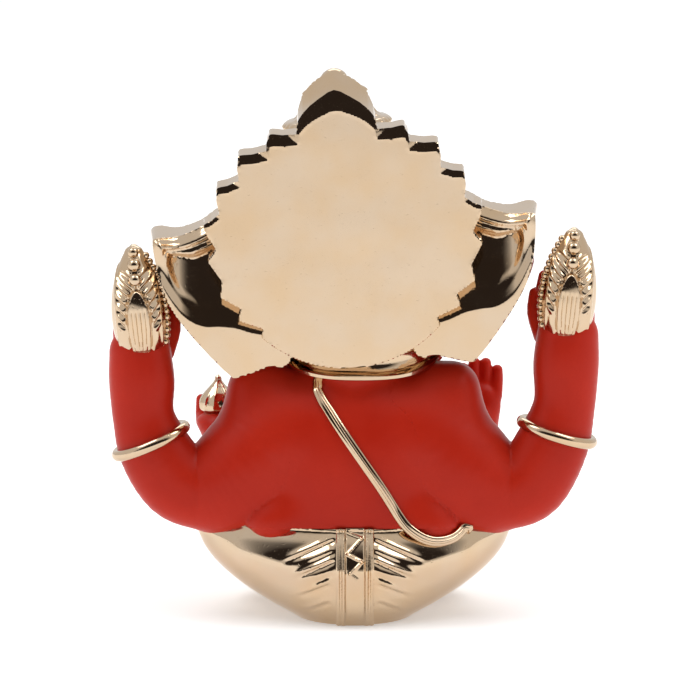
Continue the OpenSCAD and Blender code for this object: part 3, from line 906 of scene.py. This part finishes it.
def plan_feet():
    for side in (LEFT, RIGHT):
        x, y, z = middle("foot_" + NAME[side])
        heel = egg((x + 1.9 * side, y, z), (2.6, 2.2, 2.3))
        parts = [heel, egg((x - 0.2 * side, y, z - 0.3), (3.4, 2.4, 2.1))]
        for i in range(5):
            across, length, thick = (i - 2) * 1 - 0.2, 4.4 - 0.28 * i, 0.72 if i == 0 else 0.54
            parts.append(tube([(x - 1.6 * side, y + across * 0.85, z - 0.4, 0.8),
                               (x - length * 0.8 * side, y + across * 1.05, z - 0.3, thick),
                               (x - (length + 0.5) * side, y + across * 1.08, z - 0.5, thick)], 3))
        foot = join(0.15, join(1.5, parts[0], parts[1]), *parts[2:])
        name = "foot_" + NAME[side]
        plan_sculpt(name, [foot, FLOOR], around(name, 1.2))
        plan("anklet_" + NAME[side], lambda side=side, foot=foot: anklet(side, foot))


def anklet(side, foot):
    centre = middle("anklet_" + NAME[side])
    ring, ways = hug(join(0.5, foot, CLOTH["leg_" + NAME[side]]), centre, (0, 1, 0), (0, 0, 1), 72, 6, 0.15)
    ring[:, 2] = np.maximum(ring[:, 2], 0.7)
    parts = [sweep(ring, ways, oval(0.75, 0.45, 12))]
    for i in range(0, 72, 4):
        parts.append(ball_mesh(ring[i] + ways[i] * 0.35, 0.52, 10))
    return merge(parts)


# ---- thread, collar and bangles ----

def plan_ornaments():
    plan("sacred_thread", thread)
    plan("necklace", collar)
    for side in (LEFT, RIGHT):
        plan("rear_bangle_" + NAME[side], lambda side=side: rear_bangle(side))
        plan("front_bangle_" + NAME[side], lambda side=side: front_bangle(side))
        plan("lotus_bud_" + NAME[side], lambda side=side: bud(side))
    plan("modak", modak)
    plan("pendant", pendant)


THREAD = [  # rough way round the body, over the left shoulder and under the right arm
    (6.4, 6.5, 34.2), (5.3, 7.5, 32.4), (3.7, 8.2, 29.6), (1.1, 8.4, 25.1), (-3.3, 8.6, 18.7),
    (-6, 8.6, 14.4), (-7.8, 8.8, 12.6), (-10.2, 8.6, 11.4), (-12.8, 7.2, 11.6), (-14.6, 3.6, 13), (-13.6, -2, 13.4),
    (-12, -8, 14.4), (-9.5, -12.5, 17),
    (-4.5, -15, 21.4), (0.5, -12.6, 26), (4.2, -9.6, 29.6), (6.6, -5, 32.2), (7.2, 1, 33.4)]


def thread():
    path = spline(THREAD, 10, closed=True)
    ground = join(0.8, body_skin, cloth_skin)
    for _ in range(2):
        path = settle(ground, path, 1.5)
        path = (np.roll(path, 1, 0) + 2 * path + np.roll(path, -1, 0)) / 4
    path = settle(ground, path, 1.5, 4)
    _, slope = value_and_slope(ground, path)
    for _ in range(3):
        slope = (np.roll(slope, 1, 0) + slope + np.roll(slope, -1, 0)) / 3
    band = sweep(path + slope * 0.10, slope, oval(0.70, 0.42, 16, 0.7))
    piping = sweep(path + slope * 0.44, slope, oval(0.26, 0.2, 10))
    return merge([band, piping])


COLLAR_SECTION = [  # out and up: a hollow band between a thin upper bead and a heavier lower one
    (0.30, 1.95), (0.72, 1.80), (0.78, 1.45), (0.45, 1.15), (0.22, 0.5), (0.18, -0.1), (0.32, -0.7),
    (0.62, -1.05), (1.05, -1.15), (1.30, -1.45), (1.15, -1.85), (0.6, -2), (-0.9, -1.7), (-0.9, 1.7)]


def collar():
    turn = np.arange(120) / 120 * 2 * math.pi
    back = np.cos(turn)
    ring = np.stack([9.3 * np.sin(turn) - 0.8, 6.6 * back - 0.9 - 1.4 * (1 - back),
                     35.5 - 1.6 * ramp(back, 0.2, 1) - 4.6 * ramp(-back, -0.1, 1)], 1)
    out = unit(np.stack([np.sin(turn), back, 0.10 - 0.8 * np.minimum(back, 0)], 1))
    parts = [sweep(ring, out, COLLAR_SECTION)]
    up = vec(0, 0, 1)
    for i in range(0, 120, 3):
        if back[i] < 0.1:
            parts.append(ball_mesh(ring[i] - up * 0.15 + out[i] * 0.35, 0.5, 8))
    return merge(parts)


def rear_bangle(side):
    low, high = box_mm("rear_bangle_" + NAME[side])
    centre = (low + high) / 2
    slope = math.radians(23 if side > 0 else 17)
    u = (side * math.cos(slope), 0, -math.sin(slope))
    ring, ways = hug(REAR[side], centre, u, (0, 1, 0), 96, 8, 0.25)
    return sweep(ring, ways, oval(0.74, 0.68, 16))


def front_bangle(side):
    centre = middle("front_bangle_" + NAME[side])
    ahead = vec(1.9 * side, -2.6, 1.8 if side > 0 else 2.6)
    u = np.cross(ahead, (0, 0, 1))
    ring, ways = hug(FRONT[side], centre, u, np.cross(u, ahead), 72, 6, 0.15)
    return sweep(ring, ways, oval(0.7, 0.55, 14))


BUD_PROFILE = smooth_curve([(0, 2.6), (0.06, 3.05), (0.2, 3.5), (0.38, 3.62), (0.55, 3.35), (0.7, 2.8),
                            (0.82, 2.1), (0.92, 1.35), (0.98, 0.7), (1, 0.08)])
PETAL_HALF, PETAL_ARCH, PETAL_TOP = 1.55, 0.30, 0.60   # half width; shares of the bud's height


def bud(side):
    low, high = box_mm("lotus_bud_" + NAME[side])
    height = high[2] - low[2]
    share = np.linspace(0, 1, 120)
    profile = np.stack([BUD_PROFILE(share), share * height], 1)

    def relief(turn, share, radius):
        """Arched petal with lines at the back and at the front, feathered leaves beside it."""
        across = np.abs(((turn + math.pi / 2) % math.pi - math.pi / 2) * radius)
        rise = np.clip(share - PETAL_ARCH, 0, 1) / (PETAL_TOP - PETAL_ARCH)
        arch = PETAL_HALF * np.sqrt(np.clip(1 - rise ** 2, 0, 1))
        arch = arch * (0.8 + 0.2 * ramp(share, 0, 0.25))
        edge = across - arch
        petal = 0.20 * ramp(-edge, 0, 0.25)
        lines = -0.16 * sum(bump_curve(across, at, 0.10) for at in (0.28, 0.82))
        lines = lines * ramp(PETAL_TOP - 0.16 - share, 0, 0.05)
        groove = -0.30 * bump_curve(edge, 0.16, 0.18) * ramp(PETAL_TOP + 0.1 - share, 0, 0.1)
        leaf = ramp(edge, 0.3, 0.6) * (1 - ramp(across, 2.7, 3.2)) * ramp(share, 0.18, 0.30)
        veins = 0.24 * np.cos((share * height - across * 0.8) * 4.4) * leaf * (1 - ramp(share, 0.74, 0.80))
        shell = 0.16 * bump_curve(across, 3.3, 0.25)
        fade = ramp(share, 0.01, 0.05) * (1 - ramp(share, 0.84, 0.92))
        return (petal + lines + groove + veins + shell) * fade
    points, faces = lathe(profile, 160, relief)
    lean = rotation(5 * side, (0, 1, 0)).T
    base = vec((low[0] + high[0]) / 2 - 0.4 * side, (low[1] + high[1]) / 2, low[2])
    parts = [(points @ lean + base, faces)]

    def add_bead(rise, degrees, radius):
        r = float(BUD_PROFILE(rise))
        a = math.radians(degrees)
        centre = vec(r * math.sin(a), r * math.cos(a), rise * height)
        parts.append(ball_mesh(centre @ lean + base, radius, 12))
    for turn in (0, 180):
        for rise, radius in ((0.70, 0.82), (0.83, 0.88), (0.94, 0.75)):
            add_bead(rise, turn, radius)
    for i in range(15):                     # beaded border on the side of the head
        add_bead(0.08 + 0.058 * i, -78 * side, 0.48)
    return merge(parts)


def modak():
    low, high = box_mm("modak")
    height = high[2] - low[2]
    share = np.linspace(0, 1, 60)
    shape = smooth_curve([(0, 0.70), (0.1, 0.94), (0.28, 1), (0.5, 0.78), (0.7, 0.42), (0.84, 0.2),
                          (0.93, 0.16), (1, 0.02)])
    profile = np.stack([shape(share) * (high[0] - low[0]) / 2, share * height], 1)

    def pleats(turn, share, radius):
        pleat = np.abs(np.cos(turn * 6 + share * 0.8)) ** 0.6
        return -0.22 * pleat * ramp(share, 0.02, 0.2) * radius / 2.6
    points, faces = lathe(profile, 120, pleats)
    return points + vec((low[0] + high[0]) / 2, (low[1] + high[1]) / 2, low[2]), faces


def pendant():
    centre = middle("pendant")
    profile = [(0.2, -0.9), (1.4, -0.9), (2.1, -0.7), (2.35, -0.3), (2.2, 0.1), (1.7, 0.25), (1.5, 0.1),
               (1.3, 0.35), (0.9, 0.7), (0.4, 0.85), (0.05, 0.9)]

    def petals(turn, share, radius):
        return 0.10 * np.cos(turn * 10) * (radius > 1.6)
    points, faces = lathe(spline(profile, 3), 60, petals)
    return points @ rotation(68, (1, 0, 0)).T + centre, faces


# ---- head group, drawn upright ----

TRUNK_POINTS = [(0, -11.4, 42, 4.9), (0, -14, 37.6, 4.1), (0.6, -15.6, 33, 3.5), (2.4, -16.6, 29.2, 2.95),
                (5.4, -17.4, 26.6, 2.5), (9, -17.8, 25.9, 2.15), (11.6, -17.6, 27.2, 1.9),
                (12.3, -17.4, 29.4, 1.65)]


def trunk_rings(along):
    """Soft rings across the front of the trunk, finer towards its tip."""
    ring = np.maximum(np.sin(along * 2 * math.pi / (1.75 - 0.02 * along)), 0) ** 3
    return 0.22 * ring * ramp(along, 2.5, 5) * (1 - ramp(along, 28, 31))


def brow(side):
    return join(1.2, egg((side * 4.6, -10.3, 48.8), (3.2, 3, 2.6)),
                egg((side * 3, -10.4, 46.2), (3.4, 3.2, 3.4)))


def lids(side):
    over = [(2.7, -12.75, 44.3, 0.30), (3.4, -13.35, 45.35, 0.42), (4.6, -13.3, 45.75, 0.45),
            (5.9, -12.4, 45.2, 0.36), (6.6, -11.6, 44.5, 0.25)]
    under = [(2.8, -12.75, 44.1, 0.25), (3.7, -13.2, 43.6, 0.33), (4.9, -13, 43.5, 0.33),
             (6.3, -11.8, 44.1, 0.25)]
    return join(0.3, *[tube([(side * x, *rest) for x, *rest in arc], 3) for arc in (over, under)])


FACE = join(1.6, egg((0, -4, 46), (10.8, 9.6, 11.2)), egg((0, -4, 41), (9.6, 8.6, 7.6)),
            egg((0, -8.6, 41), (7.8, 6, 5.8)), egg((0, -9.8, 45), (6.2, 4.4, 4.8)), brow(LEFT), brow(RIGHT),
            tube(TRUNK_POINTS, 5, trunk_rings), egg((0, -10.6, 36.4), (2.8, 2.4, 2)))
MOUTH = join(0.4, tube([(-3.9, -11.6, 38.4, 0.35), (0, -13.4, 36.3, 0.5), (3.9, -11.6, 38.4, 0.35)], 4),
             tube([(12.9, -17.2, 30.6, 0.55), (12.3, -17.5, 31.4, 0.5)], 2))
SOCKETS = twin_eggs(0.4, (4.5, -13.4, 44.6), (2, 1.1, 1.15))
LIDS = join(0.2, lids(LEFT), lids(RIGHT))
TUSK_POINTS = {RIGHT: [(-3.8, -9.5, 39.6, 1.25), (-4.8, -12.4, 37.7, 1.1), (-5.8, -14.9, 36.9, 0.9),
                       (-6.4, -16.8, 37.4, 0.4)],
               LEFT: [(3.8, -9.5, 39.6, 1.25), (4.7, -12.2, 37.9, 1.1), (5.4, -13.8, 37.3, 1)]}


def head(p):
    d = smooth_max(FACE(p), -MOUTH(p), 0.5)
    d = smooth_max(d, -SOCKETS(p), 0.5)
    return smooth_min(d, LIDS(p), 0.35)


def plan_head():
    cuts = [half_space((0, 2.3, 0), (0, 1, 0)), half_space((0, 0, 33.2), (0, 0.75, -1))]
    plan_sculpt("head", [head] + cuts, ((-12, -21.5, 22), (15.5, 3, 60)), tilted)
    for side in (LEFT, RIGHT):
        tusk = tube(TUSK_POINTS[side], 6)
        plan_sculpt("tusk_" + NAME[side], [tusk], ((-8, -18, 34), (8, -8, 42)), tilted)
    eyeballs = twin_eggs(0.05, (4.5, -12.5, 44.6), (1.9, 1, 1.05))
    plan_sculpt("eyes", [eyeballs], ((-7, -14, 43), (7, -11, 46)), tilted)
    pupils = twin_eggs(0.05, (4.4, -13.2, 44.6), (0.75, 0.4, 0.75))
    plan_sculpt("pupils", [pupils], ((-6, -14, 43), (6, -12, 46)), tilted)
    strokes = [egg((0, -13.5, 47.8 + 1.15 * i), (2.8 - 0.35 * i, 3, 0.34)) for i in range(3)]
    strokes.append(egg((0, -13.6, 46.2), (0.75, 3, 0.75)))
    plan_sculpt("forehead_mark", [lambda p: head(p) - 0.28, join(0.1, *strokes), outside(head, -0.5)],
                ((-3.4, -16, 45), (3.4, -9.5, 51.4)), tilted)


# ---- ears ----

EAR_OUTLINE = spline([(8, 53), (12.5, 54.4), (15.6, 54.2), (18.2, 52.6), (21.4, 51.7), (24.2, 52),
                      (24.6, 51.2), (24.4, 48.6), (24, 46.2), (23, 43.2), (21.2, 40.2), (18.8, 37),
                      (16.2, 34), (15, 33.4), (11, 34.5), (8, 35.2), (6, 44)], 5, closed=True)
EAR_EDGE = outline_map(EAR_OUTLINE)
LOBE_LINE = smooth_curve([(8, 38.6), (12.5, 39.1), (15, 40), (17, 40.3), (19, 40.5), (20.4, 41.2),
                          (21.6, 42.3), (22.6, 43.8), (24, 46.5)])
LOBE_Y, EAR_LEAN, EAR_FRONT_Y = 6.2, 0.40, -0.9


def ear_back(p):
    """Back face of an ear: a flat lobe below, a leaning hollow with a rolled rim above it."""
    x, z = p[:, 0], p[:, 2]
    edge = EAR_EDGE(p)
    rise = np.maximum(z - LOBE_LINE(x), 0)
    hollow = EAR_LEAN * rise
    edge = edge * (1 + 0.75 * ramp(x, 19.5, 23) * (1 - ramp(z, 48.5, 51)))
    rim = ramp(edge, -3.3, -2.1) + 0.4 * ramp(edge, -1.7, -1) - 0.5 * ramp(edge, -0.8, 0.1)
    rim = rim * 1.2 * ramp(rise, 1.5, 5.5)
    return p[:, 1] - (LOBE_Y - hollow + rim)


def ear_edge(p):
    """Outline that grows a little towards the front."""
    return EAR_EDGE(p) - 0.07 * np.maximum(LOBE_Y - p[:, 1], 0)


def ear_front(p):
    x, z = p[:, 0], p[:, 2]
    return EAR_FRONT_Y - 0.11 * np.maximum(x - 9, 0) - 0.02 * (z - 44) - p[:, 1]


def panel_edge(p):
    """The red panel shows past the gold only along the lower outer edge."""
    return ear_edge(p) + 0.45 - 0.6 * ramp(p[:, 0], 14, 17) * (1 - ramp(p[:, 2], 44, 47))


def ear_panel(p):
    """Red front panel: a raised rim, a hollow inside it and three soft folds."""
    x, z = p[:, 0], p[:, 2]
    edge = EAR_EDGE(p)
    rim = 0.9 * bump_curve(edge, -1, 0.8) - 0.7 * ramp(-edge, 1.8, 4)
    fold = 0.40 * np.cos((x - 9) * 0.95 + 0.16 * (z - 44) ** 2 * 0.35) * ramp(-edge, 1.8, 3.4)
    return ear_front(p) - 1.5 - rim - fold


def plan_ears():
    for side in (LEFT, RIGHT):
        name = NAME[side]
        box = ((min(5 * side, 27 * side), -4.6, 32), (max(5 * side, 27 * side), 8.2, 56))
        fields = [on_side(side, f) for f in (ear_back, ear_edge, ear_front)]
        fields.append(half_space((6.8 * side, 0, 0), (-side, 0, 0)))
        plan_sculpt("ear_" + name, fields, box, tilted)
        inner = [on_side(side, f) for f in (lambda p: -ear_front(p) + 0.02, panel_edge, ear_panel)]
        inner.append(half_space((8.2 * side, 0, 0), (-side, 0, 0)))
        box = ((box[0][0], -7.6, 32), (box[1][0], 1.5, 56))
        plan_sculpt("ear_inner_" + name, inner, box, tilted)


# ---- halo plate ----

HALO_Z, RIM_R = 50, 16.3
PLATE_BACK, PLATE_FRONT = 6.8, 2.4
BEVEL_DROP = smooth_curve([(50, 0.2), (53, 0.45), (58, 0.8), (62, 1.2), (65, 1.6), (68, 2.05), (70, 2.2)])
BEVEL_SLOPE = 0.37
TIP_ROUND, NOTCH_ROUND = 0.6, 0.15
CURVED_STEPS = 9     # corners from the top down whose sides swell and sag
PEAK_LEAN = smooth_curve([(48, 0), (54, 0.08), (63, 0.08), (66, 0.10), (67.5, 0.26), (69.5, 0.5),
                          (72, 0.6)])
STEPS = [  # notches and tips of the stepped rim, out and up from the middle of the plate
    (5.2, 14.5), (8.7, 14.7), (9.2, 12.6), (12.9, 12.2), (13, 9), (16, 8.2), (15.8, 4.9), (18.1, 3.5),
    (16.6, 0.5), (17.8, -1), (16.1, -3.8), (16.5, -5.9), (13.9, -7.6), (14.4, -9.1), (11.2, -10.4),
    (11.6, -11.4)]
PEAK = [(0, 19.3), (0.8, 19.1), (2, 18.5), (3.2, 17.8), (4.2, 17), (4.85, 16.2), (5.05, 15.6)]


def halo_outline():
    """One half from the peak down, with rounded tips, then its mirror image."""
    half = [vec(*p) for p in PEAK]
    corners = [vec(*p) for p in STEPS]
    for i, corner in enumerate(corners):
        before = corners[i - 1] if i else half[-1]
        after = corners[min(i + 1, len(corners) - 1)]
        is_tip = i % 2 == 1
        cut = TIP_ROUND if is_tip else NOTCH_ROUND
        if i == len(corners) - 1:
            half.append(corner)
            break
        for share in (1, 0.35):
            half.append(corner + (before - corner) / np.linalg.norm(before - corner) * cut * share)
        for share in (0.35, 1):
            half.append(corner + (after - corner) / np.linalg.norm(after - corner) * cut * share)
        if i < CURVED_STEPS:        # the drop below a tip swells a little, the step above it sags
            half.append((corner + after) / 2 + (vec(0.14, 0.05) if is_tip else vec(0, -0.14)))
    for angle in np.arange(136, 181, 2.5):
        half.append(RIM_R * vec(math.sin(math.radians(angle)), math.cos(math.radians(angle))))
    half = np.array(half)
    other = half[::-1] * vec(-1, 1)
    return np.vstack([half, other[:-1]]) + vec(0, HALO_Z)


HALO_EDGE = outline_map(halo_outline())


def plan_halo():
    def bevel(p):
        raised = p.copy()
        raised[:, 2] += BEVEL_DROP(p[:, 2])
        return (p[:, 1] - PLATE_BACK + BEVEL_SLOPE * HALO_EDGE(raised)) / math.hypot(1, BEVEL_SLOPE)

    def face(p):
        dish = 0.05 * ramp(np.hypot(p[:, 0], p[:, 2] - HALO_Z), 3, 15)
        return p[:, 1] - PLATE_BACK + 0.05 - dish

    def wall(p):
        """The side wall; towards the front the peak rises, the teeth hardly do."""
        lowered = p.copy()
        lowered[:, 2] -= PEAK_LEAN(p[:, 2]) * (PLATE_BACK - p[:, 1])
        return HALO_EDGE(lowered)
    fields = [face, bevel, wall,
              lambda p: PLATE_FRONT - p[:, 1]]
    plan_sculpt("halo_plate", fields, ((-21, 1.6, 32), (21, 7.6, 73)), tilted, sharp=18)


# ---- crown ----

CROWN_PROFILE = [(9.6, 51.4), (10.2, 51.9), (10.25, 52.6), (9.9, 53.1), (9.7, 53.6), (9.6, 55.2), (9.4, 57),
                 (9, 58.2), (9.1, 58.6), (9.3, 59), (9.3, 59.6), (8.8, 60.1), (7.9, 60.6), (7.1, 61.8),
                 (6.5, 63.2), (6.6, 63.7), (6.9, 64.2), (6.6, 64.8), (5.5, 65.2), (4.5, 66.2), (3.7, 67.3),
                 (3.7, 67.8), (4, 68.3), (3.6, 68.8), (2.4, 69.2), (1.5, 69.5), (1.6, 69.9), (1.7, 70.3),
                 (1.4, 70.8), (0.8, 71.2), (0.1, 71.4)]


def plan_crown():
    def relief(turn, share, radius):
        z = 51.4 + share * 20
        beads = sum(0.28 * np.abs(np.cos(turn * n)) * bump_curve(z, at, 0.42)
                    for at, n in ((52.3, 30), (59.3, 24), (64.2, 18), (68.3, 12)))
        petals = 0.42 * np.abs(np.cos(turn * 7)) * ramp(z, 53.6, 56.4) * (1 - ramp(z, 57.2, 58.4))
        flutes = 0.22 * np.cos(turn * 20) * (bump_curve(z, 61.8, 1) + bump_curve(z, 66.2, 0.8))
        return beads + petals + flutes - 0.2 * bump_curve(z, 55.5, 2)

    def make():
        points, faces = lathe(spline(CROWN_PROFILE, 5), 240, relief)
        points = points + vec(0, -4, 0)
        sunk = 0.1 + 0.001 * points[:, 2] % 0.05          # just inside the halo's front face
        points[:, 1] = np.minimum(points[:, 1], PLATE_FRONT + sunk)
        return points, faces
    plan("crown", make, pose=tilted)


# ---- making it all ----

plan_body()
plan_head()
plan_cloth()
plan_halo()
plan_ears()
plan_feet()
plan_ornaments()
plan_crown()
make_pieces()

for name, obj in frame["nodes"].items():
    for place in obj.material_slots:
        place.material = MATERIALS[SLOT_OF[name]]


# ---- studio ----

def make_stage():
    material, n, shader = new_material("pale_floor", "floor", Roughness=0.95, Specular_IOR_Level=0.0)
    place = n.new("ShaderNodeTexCoord").outputs["Object"]
    shade = n.mix(n.span(n.noise(place, 30, 4), 0.3, 0.7, 0, 1), (0.93, 0.93, 0.93), (0.90, 0.90, 0.90))
    n.tree.links.new(shade, shader.inputs["Base Color"])
    n.tree.links.new(shade, shader.inputs["Emission Color"])
    shader.inputs["Emission Strength"].default_value = FLOOR_GLOW
    mesh = bpy.data.meshes.new("floor")
    reach = 6.0
    mesh.from_pydata([(-reach, -reach, 0), (reach, -reach, 0), (reach, reach, 0), (-reach, reach, 0)],
                     [], [(0, 1, 2, 3)])
    mesh.materials.append(material)
    floor = bpy.data.objects.new("floor", mesh)
    bpy.context.scene.collection.objects.link(floor)


def make_world():
    """White room with one dim wall, behind the idol, at lamp height."""
    world = bpy.data.worlds.new("studio")
    bpy.context.scene.world = world
    world.use_nodes = True
    n = Nodes(world.node_tree)
    place = n.new("ShaderNodeTexCoord").outputs["Generated"]
    split = n.new("ShaderNodeSeparateXYZ", {0: place})
    toward_back = n.span(split.outputs["Y"], 0.54, 0.72, 0.0, 1.0)
    above = n.span(split.outputs["Z"], 0.04, 0.08, 0.0, 1.0)
    under_lamps = n.span(split.outputs["Z"], 0.70, 0.86, 1.0, 0.2)
    dim = n.maths("MULTIPLY", n.maths("MULTIPLY", toward_back, above), under_lamps)
    room = n.mix(dim, (ROOM_WHITE,) * 3, DIM_WALL)
    seen = n.new("ShaderNodeLightPath").outputs["Is Camera Ray"]
    colour = n.mix(seen, room, (BACKDROP,) * 3)
    background = world.node_tree.nodes["Background"]
    n.tree.links.new(colour, background.inputs["Color"])
    background.inputs["Strength"].default_value = WORLD_STRENGTH


def add_lamp(name, place, size, power):
    data = bpy.data.lights.new(name, "AREA")
    data.shape = "RECTANGLE"
    data.size, data.size_y = size
    data.energy = power
    lamp = bpy.data.objects.new(name, data)
    lamp.location = place
    aim = Vector(AIM) - Vector(place)
    lamp.rotation_euler = aim.to_track_quat("-Z", "Y").to_euler()
    bpy.context.scene.collection.objects.link(lamp)


def make_camera():
    azimuth, elevation = math.radians(CAMERA_AZIMUTH), math.radians(CAMERA_ELEVATION)
    away = vec(-math.sin(azimuth) * math.cos(elevation), -math.cos(azimuth) * math.cos(elevation),
               math.sin(elevation))
    data = bpy.data.cameras.new("camera")
    data.lens = LENS
    data.clip_start = 0.01
    camera = bpy.data.objects.new("camera", data)
    camera.location = vec(*AIM) + away * VIEW_WIDTH * LENS / data.sensor_width
    camera.rotation_euler = Vector(-away).to_track_quat("-Z", "Y").to_euler()
    bpy.context.scene.collection.objects.link(camera)
    bpy.context.scene.camera = camera


ROOM_WHITE, BACKDROP, WORLD_STRENGTH = 0.78, 1.05, 1.0
DIM_WALL = (0.030, 0.024, 0.022)
FLOOR_GLOW = 0.35
CAMERA_AZIMUTH, CAMERA_ELEVATION = 180, 10
LENS, VIEW_WIDTH = 300.0, 0.091   # a long lens, in mm, and the width of the picture at the idol, in m
LAMPS = {  # place and size in metres, power in watts
    "left_box": ((0.30, 0.06, 0.50), (0.25, 0.25), 0.75),
    "right_box": ((-0.30, 0.06, 0.50), (0.25, 0.25), 0.75),
    "front_box": ((0.0, -0.45, 0.45), (0.40, 0.25), 0.45)}
AIM = (0.0005, 0.0, 0.0349)

make_stage()
make_world()
for name, (place, size, power) in LAMPS.items():
    add_lamp(name, place, size, power)
make_camera()
bpy.context.scene.view_settings.view_transform = "Standard"
